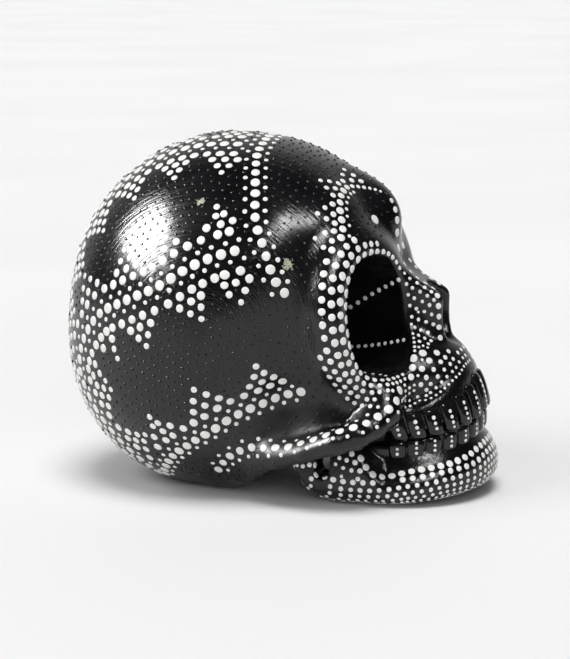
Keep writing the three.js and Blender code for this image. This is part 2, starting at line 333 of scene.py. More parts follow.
# ---- meshes from fields -------------------------------------------------------------------------
def surface_slope(field, p, step=0.04):
    """Gradient of a field at points (n, 3)."""
    slope = np.empty_like(p)
    for axis in range(3):
        nudge = np.zeros(3)
        nudge[axis] = step
        slope[:, axis] = (field(p + nudge) - field(p - nudge)) / (2 * step)
    return slope


def settle(field, p, steps=3):
    """Moves points onto the field's surface, and gives them with their outward normals."""
    p = np.array(p, float)
    for _ in range(steps):
        slope = surface_slope(field, p)
        p = p - slope * (field(p) / np.maximum(np.sum(slope ** 2, -1), 0.05)).clip(-3, 3)[:, None]
    slope = surface_slope(field, p)
    return p, slope / np.maximum(np.linalg.norm(slope, axis=1), 1e-9)[:, None]


def new_piece(name, points, faces, material, normals=None):
    """A smooth-shaded piece of the model from points in design millimetres."""
    mesh = bpy.data.meshes.new(name)
    mesh.from_pydata((points * MM).tolist(), [], faces)
    mesh.update()
    mesh.polygons.foreach_set("use_smooth", np.ones(len(mesh.polygons), bool))
    if normals is not None:
        mesh.normals_split_custom_set_from_vertices(normals.tolist())
    mesh.materials.append(material)
    piece = bpy.data.objects.new(name, mesh)
    bpy.context.scene.collection.objects.link(piece)
    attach(piece, "root")
    return piece


SAMPLES_AT_ONCE = 1.5e6              # keeps the memory needed small


def skin(name, field, low, high, pitch, material):
    """A closed mesh of a field's surface, with its vertices moved exactly onto it."""
    low, high = np.array(low, float), np.array(high, float)
    count = np.ceil((high - low) / pitch).astype(int) + 1
    axes = [low[i] + pitch * np.arange(count[i]) for i in range(3)]
    samples = np.empty(tuple(count), np.float32)
    slab = max(1, int(SAMPLES_AT_ONCE // (count[1] * count[2])))
    for start in range(0, count[0], slab):
        grid = np.meshgrid(axes[0][start:start + slab], axes[1], axes[2], indexing="ij")
        samples[start:start + slab] = field(np.stack(grid, -1))
    volume = openvdb.FloatGrid()
    volume.copyFromArray(np.clip(samples / pitch, -3, 3))
    points, quads = volume.convertToQuads(isovalue=0.0)
    points, normals = settle(field, points * pitch + low, 2)
    return new_piece(name, points, quads.tolist(), material, normals)


# ---- laying out dots ----------------------------------------------------------------------------
def curve(points):
    """A smooth line through the given points, as many close points."""
    k = np.array(points, float)
    k = np.vstack([2 * k[0] - k[1], k, 2 * k[-1] - k[-2]])
    t = np.linspace(0, 1, 24, endpoint=False)[:, None]
    line = []
    for a, b, c, d in zip(k, k[1:], k[2:], k[3:]):
        bend = (2 * a - 5 * b + 4 * c - d) * t ** 2 + (3 * b - a - 3 * c + d) * t ** 3
        line.append(0.5 * (2 * b + (c - a) * t + bend))
    line.append(k[-2][None])
    return np.vstack(line)


class Route:
    """A line lying on a surface, measured along its length."""

    def __init__(self, field, points):
        self.field = field
        line, _ = settle(field, curve(points), 6)
        self.line = line
        self.reach = np.concatenate([[0], np.cumsum(np.linalg.norm(np.diff(line, axis=0), axis=1))])
        self.length = self.reach[-1]

    def at(self, s):
        s = np.atleast_1d(np.array(s, float))
        p = np.stack([np.interp(s, self.reach, self.line[:, i]) for i in range(3)], -1)
        a, b = np.clip(s - 0.8, 0, self.length), np.clip(s + 0.8, 0, self.length)
        ahead = np.stack([np.interp(b, self.reach, self.line[:, i]) for i in range(3)], -1)
        behind = np.stack([np.interp(a, self.reach, self.line[:, i]) for i in range(3)], -1)
        t = ahead - behind
        t = t / np.maximum(np.linalg.norm(t, axis=1), 1e-9)[:, None]
        p, n = settle(self.field, p, 2)
        return p, t, n

    def beside(self, s, offset):
        """Points at lengths s, and off to the left of the line as seen from outside by offset."""
        p, t, n = self.at(s)
        side = np.cross(n, t)
        offset = np.broadcast_to(np.array(offset, float), (len(p),))
        return walk(self.field, p, side * np.sign(offset)[:, None], np.abs(offset))


def walk(field, p, way, distance, stride=2.0):
    """Goes over a surface from p towards way for a distance each."""
    steps = max(1, int(np.ceil(np.max(distance) / stride)))
    p, n = settle(field, p, 1)
    for _ in range(steps):
        way = way - np.sum(way * n, -1)[:, None] * n
        way = way / np.maximum(np.linalg.norm(way, axis=1), 1e-9)[:, None]
        p, n = settle(field, p + way * (distance / steps)[:, None], 2)
    return p


class Dots:
    """Dots of one colour and region; a new one is left out where it would touch an old one."""
    taken = np.zeros((0, 4))             # x, y, z and width of every dot so far, shared by all groups

    def __init__(self, name):
        self.name = name
        self.rows = []

    def add(self, points, size, gap=0.25, keep=None):
        points = np.atleast_2d(points)
        size = np.broadcast_to(np.array(size, float), (len(points),))
        for i, (p, d) in enumerate(zip(points, size)):
            if keep is not None and not keep[i]:
                continue
            if p[0] < -0.3 * d:
                continue
            if abs(p[0]) < 0.45 * d:
                p = p * np.array([0, 1, 1])      # a dot on the middle line isn't mirrored
            elif p[0] < 0.5 * d + gap:
                continue
            if len(Dots.taken):
                away = np.linalg.norm(Dots.taken[:, :3] - p, axis=1)
                if np.any(away < (Dots.taken[:, 3] + d) / 2 + gap - 0.06 * d):
                    continue
            Dots.taken = np.vstack([Dots.taken, [*p, d]])
            self.rows.append([*p, d])


def spaced(start, end, pitch):
    return np.arange(start, end + 1e-6, pitch)


def dotted_line(dots, route, size, pitch, start=0.0, flank=0, flank_size=1.4):
    """One row of dots, with small ones in the gaps at both sides where flank is given."""
    s = spaced(start, route.length, pitch)
    dots.add(route.at(s)[0], size)
    for offset in ([flank, -flank] if flank else []):
        dots.add(route.beside(s[:-1] + pitch / 2, offset), flank_size)
    return s


TRIANGLE_ROWS, TRIANGLE_STEP = 4, 3.1


def triangles(dots, route, s, pitch, base, side, sizes=(2.9, 2.0)):
    """Triangles of 4, 3, 2 and 1 dots standing side by side along a row; side is 1 or -1."""
    for first in range(0, len(s) - TRIANGLE_ROWS + 1, TRIANGLE_ROWS):
        middle = s[first] + (TRIANGLE_ROWS - 1) / 2 * pitch
        for row in range(TRIANGLE_ROWS):
            count = TRIANGLE_ROWS - row
            spread = (np.arange(count) - (count - 1) / 2) * pitch * (1 - 0.06 * row)
            size = sizes[0] + (sizes[1] - sizes[0]) * row / (TRIANGLE_ROWS - 1)
            dots.add(route.beside(middle + spread, side * (base + TRIANGLE_STEP * row)), size)


DOME_REACH = (1.0, 0.95, 0.84, 0.55)             # a dome's rings, as parts of its radius
DOME_LIFT = (-0.2, 0.5, 0.85, 0.97)              # and of its height; the lowest is under the surface


def dome_points(dots, field, height, segments):
    """Points of all the dots of one group as raised domes that follow the surface under them."""
    data = np.array(dots.rows)
    count = len(data)
    centre, normal = settle(field, data[:, :3], 3)
    radius = data[:, 3] / 2 * rng.uniform(0.94, 1.06, count)
    helper = np.where(np.abs(normal[:, 2:3]) < 0.9, np.array([[0.0, 0, 1]]), np.array([[0.0, 1, 0]]))
    right = np.cross(helper, normal)
    right /= np.linalg.norm(right, axis=1)[:, None]
    ahead = np.cross(normal, right)
    stretch = rng.uniform(0.95, 1.05, count)
    turn = rng.uniform(0, 2 * math.pi, count)
    angle = np.arange(segments) * 2 * math.pi / segments
    rise = height(data[:, 3])
    rings = []
    for reach, lift in zip(DOME_REACH, DOME_LIFT):
        a = angle[None] + turn[:, None]
        along = (radius * stretch)[:, None] * reach * np.cos(a)
        across = (radius / stretch)[:, None] * reach * np.sin(a)
        p = centre[:, None] + along[..., None] * right[:, None] + across[..., None] * ahead[:, None]
        flat = p.reshape(-1, 3)
        slope = surface_slope(field, flat)
        off = field(flat) / np.maximum(np.sum(slope ** 2, -1), 0.2)
        flat = flat - slope * off.clip(-0.5, 0.5)[:, None]
        rings.append(flat.reshape(count, segments, 3) + (rise * lift)[:, None, None] * normal[:, None])
    top = centre + rise[:, None] * normal
    return np.concatenate([*rings, top[:, None]], 1)


def dome_faces(segments):
    """Faces of one dome: four-sided ones between its rings, and a fan round its top."""
    levels = len(DOME_REACH)
    quads = []
    for level in range(levels - 1):
        for i in range(segments):
            j = (i + 1) % segments
            a, b = level * segments, (level + 1) * segments
            quads.append([a + i, a + j, b + j, b + i])
    last = (levels - 1) * segments
    fan = [[last + i, last + (i + 1) % segments, levels * segments] for i in range(segments)]
    return np.array(quads), np.array(fan)


def build_dots(dots, field, material, height, segments=14):
    """One piece for a group of dots, with their mirror images."""
    points = dome_points(dots, field, height, segments)
    per_dot = points.shape[1]
    off_middle = np.array(dots.rows)[:, 0] > 1e-6
    mirrored = points[off_middle] * np.array([-1, 1, 1])
    faces = []
    base = 0
    for side, flipped in ((points, False), (mirrored, True)):
        start = base + np.arange(len(side))[:, None, None] * per_dot
        for shape in dome_faces(segments):
            f = shape[:, ::-1] if flipped else shape
            faces.extend((start + f[None]).reshape(-1, f.shape[1]).tolist())
        base += len(side) * per_dot
    both = np.vstack([points.reshape(-1, 3), mirrored.reshape(-1, 3)])
    piece = new_piece(dots.name, both, faces, material)
    return piece


# ---- materials ----------------------------------------------------------------------------------
def node(tree, kind, **settings):
    n = tree.nodes.new(kind)
    for key, value in settings.items():
        setattr(n, key, value)
    return n


def wire(tree, source, target):
    tree.links.new(source, target)


def math_node(tree, operation, a, b=None):
    n = node(tree, "ShaderNodeMath", operation=operation)
    for socket, value in zip(n.inputs, (a, b)):
        if value is None:
            continue
        if isinstance(value, (int, float)):
            socket.default_value = value
        else:
            wire(tree, value, socket)
    return n.outputs[0]


def ramp(tree, factor, low, high, at=(0.35, 0.65)):
    """Colours from low to high, linear light, as factor goes between the two values of at."""
    n = node(tree, "ShaderNodeValToRGB")
    n.color_ramp.elements[0].position, n.color_ramp.elements[1].position = at
    n.color_ramp.elements[0].color = (*low, 1)
    n.color_ramp.elements[1].color = (*high, 1)
    wire(tree, factor, n.inputs[0])
    return n.outputs[0]


def noise(tree, vector, scale, detail=2.0):
    n = node(tree, "ShaderNodeTexNoise")
    n.inputs["Scale"].default_value = scale
    n.inputs["Detail"].default_value = detail
    wire(tree, vector, n.inputs["Vector"])
    return n.outputs["Fac"]


def in_millimetres(tree, centre):
    """Object coordinates in design millimetres, measured from a centre."""
    place = node(tree, "ShaderNodeTexCoord").outputs["Object"]
    scaled = node(tree, "ShaderNodeVectorMath", operation="MULTIPLY_ADD")
    wire(tree, place, scaled.inputs[0])
    scaled.inputs[1].default_value = (1 / MM,) * 3
    scaled.inputs[2].default_value = tuple(-c for c in centre)
    return scaled.outputs[0]


def bump(tree, height, distance, strength, under=None):
    n = node(tree, "ShaderNodeBump")
    n.inputs["Strength"].default_value = strength
    n.inputs["Distance"].default_value = distance * MM
    wire(tree, height, n.inputs["Height"])
    if under is not None:
        wire(tree, under, n.inputs["Normal"])
    return n.outputs[0]


def new_material(name):
    material = bpy.data.materials.new(name)
    material.use_nodes = True
    return material, material.node_tree, material.node_tree.nodes["Principled BSDF"]


VAULT_CENTRE = HEAD_PARTS[0][0]
DULL_PLACES = ((-38, -12, 18), (38, -12, 18))    # the paint is less glossy near the cheek arches
DULL_REACH, DULLNESS = 22.0, 0.4
CHIPS = [((-40.3, -12, 76.7), 1.5), ((-36.3, 16.6, 94.6), 1.1)]      # where paint has come off, how far
CHIP_EDGE = 2.5                      # the grain moves a chip's edge in or out by up to this


def brush_streaks(tree):
    """Fine ridges left by a brush that went round the side of the head."""
    place = in_millimetres(tree, VAULT_CENTRE)
    parts = node(tree, "ShaderNodeSeparateXYZ")
    wire(tree, place, parts.inputs[0])
    x, y, z = parts.outputs
    squares = [math_node(tree, "MULTIPLY", v, v) for v in (y, z)]
    reach = math_node(tree, "SQRT", math_node(tree, "ADD", *squares))
    around = math_node(tree, "ARCTAN2", z, y)
    lanes = node(tree, "ShaderNodeCombineXYZ")
    wire(tree, math_node(tree, "MULTIPLY", reach, 1.9), lanes.inputs[0])
    wire(tree, math_node(tree, "MULTIPLY", around, 4.0), lanes.inputs[1])
    wire(tree, math_node(tree, "MULTIPLY", x, 0.9), lanes.inputs[2])
    return place, noise(tree, lanes.outputs[0], 1.0, 4.0)


def distance_from(tree, place, centre):
    """Distance of a point on the head from centre, where place is measured from the vault's centre."""
    n = node(tree, "ShaderNodeVectorMath", operation="DISTANCE")
    wire(tree, place, n.inputs[0])
    n.inputs[1].default_value = tuple(c - v for c, v in zip(centre, VAULT_CENTRE))
    return n.outputs["Value"]


def lacquer_roughness(tree, place, streaks, soft):
    """Roughness that follows the brush streaks and is higher near the cheek arches."""
    streaked = math_node(tree, "MULTIPLY", streaks, 0.16)
    rough = math_node(tree, "ADD", streaked, math_node(tree, "MULTIPLY", soft, 0.06))
    rough = math_node(tree, "ADD", rough, 0.07)
    for centre in DULL_PLACES:
        far_off = math_node(tree, "DIVIDE", distance_from(tree, place, centre), DULL_REACH)
        far_off = math_node(tree, "MINIMUM", far_off, 1.0)
        duller = math_node(tree, "SUBTRACT", DULLNESS, math_node(tree, "MULTIPLY", far_off, DULLNESS))
        rough = math_node(tree, "ADD", rough, duller)
    return rough


def chipped_places(tree, place, grain):
    """1 inside the chips in the paint, 0 elsewhere."""
    uneven = math_node(tree, "MULTIPLY", grain, 2 * CHIP_EDGE)
    chipped = 0.0
    for centre, reach in CHIPS:
        edge = math_node(tree, "ADD", distance_from(tree, place, centre), uneven)
        inside = math_node(tree, "LESS_THAN", edge, reach + CHIP_EDGE)
        chipped = math_node(tree, "MAXIMUM", chipped, inside)
    return chipped


def black_lacquer():
    """Gloss black paint with brush streaks and two small chips that show pale clay."""
    material, tree, shader = new_material("black_lacquer")
    place, streaks = brush_streaks(tree)
    soft = noise(tree, place, 0.09, 2.0)
    grain = noise(tree, place, 1.1, 3.0)
    chipped = chipped_places(tree, place, grain)
    mixed = node(tree, "ShaderNodeMix", data_type="RGBA")
    colour_a, colour_b = mixed.inputs[6], mixed.inputs[7]
    wire(tree, chipped, mixed.inputs["Factor"])
    wire(tree, ramp(tree, soft, (0.0025, 0.0022, 0.0028), (0.006, 0.0055, 0.0065)), colour_a)
    wire(tree, ramp(tree, grain, (0.26, 0.27, 0.19), (0.50, 0.50, 0.38)), colour_b)
    wire(tree, mixed.outputs[2], shader.inputs["Base Color"])
    rough = lacquer_roughness(tree, place, streaks, soft)
    rough = math_node(tree, "ADD", rough, math_node(tree, "MULTIPLY", chipped, 0.5))
    wire(tree, rough, shader.inputs["Roughness"])
    waves = bump(tree, soft, 0.5, 0.25)
    wire(tree, bump(tree, streaks, 0.2, 0.7, waves), shader.inputs["Normal"])
    return material


def tooth_lacquer():
    """The same black paint on the teeth, without streaks."""
    material, tree, shader = new_material("tooth_lacquer")
    place = in_millimetres(tree, (0, TOOTH_ARC_Y, 20))
    soft = noise(tree, place, 0.5, 2.0)
    colour = ramp(tree, soft, (0.003, 0.003, 0.0035), (0.008, 0.0075, 0.008))
    wire(tree, colour, shader.inputs["Base Color"])
    rough = math_node(tree, "ADD", math_node(tree, "MULTIPLY", soft, 0.12), 0.08)
    wire(tree, rough, shader.inputs["Roughness"])
    wire(tree, bump(tree, soft, 0.3, 0.4), shader.inputs["Normal"])
    return material


def white_dot_paint():
    """Thick white paint, a little satin."""
    material, tree, shader = new_material("white_dot_paint")
    place = in_millimetres(tree, (0, 0, 0))
    patches = noise(tree, place, 0.35, 2.0)
    fine = noise(tree, place, 2.2, 2.0)
    colour = ramp(tree, patches, (0.80, 0.78, 0.755), (0.88, 0.87, 0.85))
    wire(tree, colour, shader.inputs["Base Color"])
    rough = math_node(tree, "ADD", math_node(tree, "MULTIPLY", fine, 0.2), 0.24)
    wire(tree, rough, shader.inputs["Roughness"])
    wire(tree, bump(tree, fine, 0.12, 0.3), shader.inputs["Normal"])
    return material


LACQUER = black_lacquer()
TOOTH_PAINT = tooth_lacquer()
WHITE = white_dot_paint()

# ---- skull, jaw and teeth -----------------------------------------------------------------------
CRANIUM_PITCH, JAW_PITCH, TOOTH_PITCH = 1.05, 0.7, 0.45          # sizes of the skins' faces

cranium_skin = skin("cranium_skin", cranium, (-54, -64, -2), (54, 76, 118), CRANIUM_PITCH, LACQUER)
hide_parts("cranium")
jaw_skin = skin("mandible_skin", jaw, (-38, -75, -2), (38, -2, 36), JAW_PITCH, LACQUER)
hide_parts("mandible")

TOOTH_NAMES = [
    "second_molar", "first_molar", "second_premolar", "first_premolar",
    "canine", "lateral_incisor", "central_incisor",
]
TOOTH_HALF_WIDTH, TOOTH_HALF_DEPTH = 2.5, 3.5
TOOTH_SUNK = 2.0                     # how much of a tooth is inside the gum


class Tooth:
    """The place and shape of one tooth, taken from its node's box."""

    def __init__(self, name):
        low, high = (np.array(corner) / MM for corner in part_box(name))
        self.name = name
        self.upper = name.startswith("upper")
        if self.upper:
            high[2] -= TOOTH_SUNK
        else:
            low[2] += TOOTH_SUNK
        self.centre = (low + high) / 2
        self.half_height = (high[2] - low[2]) / 2
        x, y = self.centre[:2]
        along_arc = math.degrees(math.atan2(TOOTH_ARC_Y - y, abs(x)))
        self.yaw = math.copysign(90 - along_arc, x)
        self.lean = UPPER_LEAN if self.upper else 0.0

    def local(self, point):
        """Points seen from the tooth: x across it, y into the mouth, z up along it."""
        p = np.array(point, float)
        p[..., 1] = p[..., 1] - self.lean * (p[..., 2] - self.centre[2])
        return turned(p, self.centre, self.yaw)

    def field(self, point):
        q = self.local(point)
        q = np.stack([q[..., 0] * (1 + 0.04 * q[..., 1]), q[..., 1], q[..., 2]], -1)
        body = block(q, (TOOTH_HALF_WIDTH, TOOTH_HALF_DEPTH, self.half_height), 1.0)
        pillow = ellipsoid(q, (0, 1.4, 0), (4.2, 4.9, self.half_height + 4))
        return common(body, pillow, 0.6)


teeth = [Tooth(f"{row}_{side}_{name}")
         for row in ("upper", "lower") for side in ("right", "left") for name in TOOTH_NAMES]
for tooth in teeth:
    reach = np.array([5.5, 5.5, tooth.half_height + 1])
    low, high = tooth.centre - reach, tooth.centre + reach
    piece = skin(tooth.name + "_skin", tooth.field, low, high, TOOTH_PITCH, TOOTH_PAINT)
    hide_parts(tooth.name)

# ---- white dots of the head ---------------------------------------------------------------------
# More than half of the points in the routes, LIP and JAW_RIM began as marks read off the photo, which a
# helper script cast onto an earlier state of the skull. The others, JAW_SIDE among them, were shifted from
# such points or chosen one by one. They were all rounded to half a millimetre. Route moves them onto the
# surface. The centres of CHIPS were cast from marks too.
BAND_PITCH = 4.35


def coronal_row():
    """One row over the crown from ear to ear, with small dots at both sides."""
    dots = Dots("coronal_dots")
    route = Route(head, [(0, 3, 113.5), (10.5, 3, 111.5), (19.5, 3, 108), (27.5, 1.5, 103),
                         (33.5, 0, 97), (39, -1.5, 89.5), (41.5, -4.5, 82), (42.5, -7.5, 74),
                         (42, -9.5, 70), (41, -12, 67)])
    dotted_line(dots, route, 3.0, 4.25, flank=3.1, flank_size=1.5)
    return dots


def side_band():
    """The band that starts at the coronal row, goes back round the head and down behind."""
    dots = Dots("side_band_dots")
    route = Route(head, [(42, -2, 82.5), (44, 6, 80), (45, 10, 79), (46, 17.5, 75.5), (46.5, 24, 71.5),
                         (46, 30, 68), (42.5, 41, 63), (38, 50, 58), (32, 58, 47), (29, 60, 38),
                         (29, 57, 31), (29.5, 50, 20.5), (28.5, 45.5, 14.5), (26, 40, 9.5), (21, 36, 4)])
    s = dotted_line(dots, route, 3.3, BAND_PITCH, start=2.0, flank=3.0, flank_size=1.5)
    for side in (1, -1):
        triangles(dots, route, s, BAND_PITCH, 6.4, side)
    return dots


def lower_band():
    """The band low on the side, above the cheek arch, with triangles on its upper side only."""
    dots = Dots("lower_band_dots")
    route = Route(head, [(36.5, -15, 36), (39, -7.5, 33), (41, 1, 30), (41.5, 9, 26), (40.5, 18, 20),
                         (38.5, 22, 17), (36.5, 25.5, 14.5), (33, 28.5, 11.5), (27, 32, 7), (22, 33, 4)])
    s = dotted_line(dots, route, 3.1, 4.2, flank=2.6, flank_size=1.4)
    triangles(dots, route, s[1:], 4.2, 5.6, 1, sizes=(2.7, 2.0))
    return dots


def crown_band():
    """The band over the crown beside the middle line and down the back, with triangles on both sides."""
    dots = Dots("crown_band_dots")
    route = Route(head, [(15.5, 6, 112), (16, 14, 112.5), (16, 30, 110.5), (16, 45, 103), (16, 57, 92),
                         (16, 65, 79), (15.5, 69, 64), (15, 68, 48), (14, 63, 32), (12, 54, 18)])
    s = dotted_line(dots, route, 3.3, BAND_PITCH, flank=2.9, flank_size=1.4)
    for side in (1, -1):
        triangles(dots, route, s, BAND_PITCH, 6.2, side)
    return dots


def brow_dome():
    """The arch of dots over each eye, the dot inside it, and two rows down the middle of the forehead."""
    dots = Dots("brow_dots")
    route = Route(head, [(35.5, -28, 79), (32.5, -26.5, 82.5), (28.5, -26.5, 87), (24.5, -24.5, 92),
                         (19.5, -24, 96), (13, -25.5, 98.5), (7, -30, 97), (3, -34, 94.5)])
    s = [0.0]
    size = [2.7]
    while s[-1] < route.length - 2:
        s.append(s[-1] + size[-1] + 0.7)
        size.append(float(np.interp(s[-1] / route.length, [0, 0.6, 0.75, 1], [2.7, 2.5, 1.6, 1.0])))
    dots.add(route.at(s)[0], size)
    gaps = np.array(s[:-1]) + np.diff(s) / 2
    dots.add(route.beside(gaps, 2.4), 1.2, keep=gaps < 0.72 * route.length)
    for row, side_size in enumerate((2.0, 1.8, 1.6)):
        count = 3 - row
        for first in range(0, len(gaps) - 2, 3):
            if gaps[first + 1] > 0.78 * route.length:
                continue
            spread = (np.arange(count) - (count - 1) / 2) * 3.2
            dots.add(route.beside(gaps[first + 1] + spread, -(2.6 + 2.6 * row)), side_size)
    column = Route(head, [(3.5, -38, 93.5), (3.5, -39, 90), (3.5, -40, 84), (3.5, -40.5, 78)])
    reach = column.length * np.array([0.0, 0.2, 0.42, 0.68, 1.0])
    dots.add(column.at(reach)[0], np.array([1.8, 2.1, 2.4, 2.7, 2.9]))
    dots.add(settle(head, [[12.3, -33.0, 87.5]])[0], 3.4)
    return dots


# How the dots round an eye change: angle (0 is the outer side, 90 the top), width, number of rows.
RING_DOTS = [
    (-180, 0.95, 2), (-140, 1.0, 3.4), (-110, 1.25, 4.6), (-80, 1.6, 5), (-50, 2.15, 4.6), (-20, 2.65, 4),
    (0, 2.75, 4), (45, 2.75, 4), (70, 2.5, 2.6), (100, 2.0, 1), (130, 1.6, 1), (150, 1.3, 1),
    (170, 1.0, 2), (180, 0.95, 2),
]
RIM_MARGIN = 0.9                     # bare edge between the socket and the first row of dots


def eye_ring():
    """Rows of dots round each eye socket, biggest at the outer side."""
    dots = Dots("eye_ring_dots")
    angle = np.linspace(-180, 180, 361)[:-1]
    a = np.radians(angle)
    known_angles, known_sizes, known_rows = zip(*RING_DOTS)
    size = np.interp(angle, known_angles, known_sizes)
    rows = np.interp(angle, known_angles, known_rows)
    yaw = math.radians(RING_YAW)
    across = np.array([math.cos(yaw), math.sin(yaw), 0])
    outward = np.cos(a)[:, None] * across + np.sin(a)[:, None] * np.array([0, 0, 1])
    rim = np.array(RING_CENTRE) + outward * RING_RADII[1] - 5 * np.cross(across, [0, 0, -1])
    for _ in range(8):
        rim = rim - outward * (socket(rim) - size / 2 - RIM_MARGIN).clip(-4, 4)[:, None]
        rim, _ = settle(head_skin, rim, 3)
    for row in range(max(known_rows)):
        p = walk(head, rim, outward, row * (size + 0.5)) if row else rim
        step = np.linalg.norm(np.roll(p, -1, 0) - p, axis=1)
        turns = np.cumsum(step / (1.35 * size + 0.3))
        total = int(turns[-1])
        marks = (np.arange(total) + 0.5 * (row % 2)) * turns[-1] / total
        index = np.searchsorted(turns, marks).clip(0, len(angle) - 1)
        dots.add(p[index], size[index] * (1 - 0.05 * row), gap=0.25, keep=rows[index] > row)
    return dots


def socket_strings():
    """Two strings of dots across the inside of each socket, and a short one at its lower edge."""
    dots = Dots("socket_dots")
    upper = Route(head, [(3.5, -23.5, 58), (6, -32, 63.5), (10.5, -40.5, 68.5)])
    dots.add(upper.at(np.linspace(0, upper.length, 8))[0], 1.5)
    lower = Route(head, [(6, -24.5, 45.5), (8, -33, 47), (11.5, -42.5, 49.5)])
    dots.add(lower.at(np.linspace(0, lower.length, 9))[0], 1.35)
    edge = Route(head, [(18.5, -31.5, 40), (20, -34, 40), (21.5, -36.5, 40), (25, -39.5, 40.5)])
    dots.add(edge.at(np.linspace(0, edge.length, 4))[0], 1.1)
    return dots


def cheek_arch():
    """One row along the cheek arch and up the front of the cheek bone."""
    dots = Dots("cheek_arch_dots")
    route = Route(head, [(27.5, -45.5, 37), (31, -44, 33.5), (34, -42, 31.5), (37, -39.5, 30),
                         (39, -37, 28.5), (41.5, -33.5, 27.5), (42.5, -29, 26.5), (43, -24.5, 25),
                         (43, -15.5, 23), (43, -6.5, 21), (41.5, 2, 17.5), (38.5, 8.5, 13), (32, 13.5, 7.5)])
    dotted_line(dots, route, 2.8, 4.4, flank=2.7, flank_size=1.3)
    return dots


def nose_walls():
    """Slanting rows on each side of the nose and one row along its front edge."""
    dots = Dots("nose_dots")
    edge = Route(head, [(7.5, -52.5, 63.5), (7.5, -53, 58), (8, -53.5, 52), (8, -54, 48.5)])
    dotted_line(dots, edge, 1.9, 3.4)
    for row in range(8):             # each goes down forwards from the back, the lower ones less steeply
        start = np.array([9.4 + 0.2 * row, -42.1 - 0.75 * row, 70.5 - 3.4 * row])
        steps = np.arange(6)[:, None] * np.array([[-0.3, -2.15, -2.15 * (0.65 - 0.07 * row)]])
        p, _ = settle(head, start + steps, 4)
        dots.add(p, 1.25, keep=p[:, 1] > -51.6)
    roof = Route(head, [(4.5, -41, 72.5), (5, -46, 69.5), (5, -51, 66)])
    dotted_line(dots, roof, 1.6, 3.0)
    return dots


# the lower edge of the upper lip, from the side to the middle
LIP = [(25, -45, 30.5), (22.5, -47.5, 31), (20.5, -49.5, 32), (20.5, -52, 32.5), (19, -54.5, 34),
       (16.5, -57, 36), (14, -59, 38), (11, -60.5, 39.5), (7.5, -61.5, 41.5), (0, -62.5, 42.5)]
# rows above that line: distance from it, width of the dots, distance between dots
LIP_ROWS = [(0, 0.95, 1.9), (2.1, 1.15, 2.6), (4.4, 1.4, 3.1), (7.0, 1.7, 3.2), (9.9, 2.1, 3.4),
            (13.0, 2.5, 3.5), (16.2, 2.6, 3.5)]


def upper_lip():
    """Rows above the upper teeth, which grow upwards."""
    dots = Dots("upper_lip_dots")
    route = Route(head, LIP)
    for offset, size, pitch in LIP_ROWS:
        s = spaced(0.5 * pitch, route.length, pitch)
        p = route.beside(s, -offset) if offset else route.at(s)[0]
        dots.add(p, size, keep=(p[:, 2] < 46.5) & ((p[:, 1] < -46.6) | (offset < 3)))
    return dots


# ---- white dots of the jaw and teeth ------------------------------------------------------------
# lines along the jaw's rim and its side, from behind to the middle of the chin
JAW_RIM = [(32, -33, 18.5), (32.5, -33.5, 16), (33, -35, 13.5), (33, -37.5, 11), (31.5, -41, 10.5),
           (29, -45.5, 10.5), (25.5, -54.5, 12), (22, -60, 13), (16.5, -64.5, 14.5), (12.5, -66, 15.5),
           (7, -67.5, 16.5), (0, -68, 17)]
JAW_SIDE = [(30.5, -16, 20), (32, -18.5, 14.5), (33, -20, 11), (33, -23, 9), (33.5, -28, 8),
            (33, -37, 8), (29.5, -46, 8), (26, -55, 9.5), (17, -65, 11.5), (7.5, -68, 13.5), (0, -68.5, 14)]
# rows below the side line: distance from it, width of the dots, distance between dots
JAW_ROWS = [(0, 1.95, 3.15), (2.5, 1.6, 2.95), (4.7, 1.4, 2.75), (6.7, 1.25, 2.6), (8.5, 1.15, 2.4),
            (10.2, 1.05, 2.3), (11.8, 1.0, 2.2)]
# short rows behind the teeth: distance from the rim line, width of the dots
JAW_BACK_ROWS = [(2.4, 1.75), (4.6, 1.5), (6.6, 1.3), (8.4, 1.15)]


def jaw_rows():
    """Rows along the lower jaw that turn up behind the teeth and behind the notch, smaller lower down."""
    dots = Dots("jaw_dots")
    rim = Route(jaw, JAW_RIM)
    dots.add(rim.at(rim.length - spaced(0, rim.length - 0.6, 3.15))[0], 2.25, gap=0.2)
    side = Route(jaw, JAW_SIDE)
    for row, (offset, size, pitch) in enumerate(JAW_ROWS):
        s = side.length - spaced(0.5 * pitch * ((row + 1) % 2), side.length, pitch)
        p = side.beside(s, offset) if offset else side.at(s)[0]
        dots.add(p, size, gap=0.2)
    for row, (offset, size) in enumerate(JAW_BACK_ROWS):
        s = spaced(0.6 + 1.3 * (row % 2), 9.5, 2.6)
        dots.add(rim.beside(s, offset), size, gap=0.2)
    return dots


def tooth_columns(tooth):
    """A column of dots down the middle of a tooth, smallest at the bite."""
    dots = Dots(tooth.name + "_dots")
    yaw = math.radians(tooth.yaw)
    outward = np.array([math.sin(yaw), -math.cos(yaw), 0]) * TOOTH_HALF_DEPTH
    from_gum, size = (2.4, 1.3) if tooth.upper else (1.6, 1.1)
    while from_gum < 2 * tooth.half_height - 0.8:
        z = tooth.half_height - from_gum
        if not tooth.upper:
            z = -z
        p = tooth.centre + outward + np.array([0, tooth.lean * z, z])
        p, _ = settle(tooth.field, p[None], 5)
        dots.rows.append([*p[0], size])
        from_gum += size + 0.5
        size = max(0.75, size - 0.12)
    return dots


# ---- black dots ---------------------------------------------------------------------------------
PIN_PITCH, PIN_WIDTH = 2.85, 1.0
PIN_SPHERE = 54                      # radius of the sphere round the vault that the rings are laid out on
PIN_SHAKE = 0.16                     # unevenness of their places
PIN_CLEARANCE = 0.75                 # from a pin's middle to the edge of a white dot


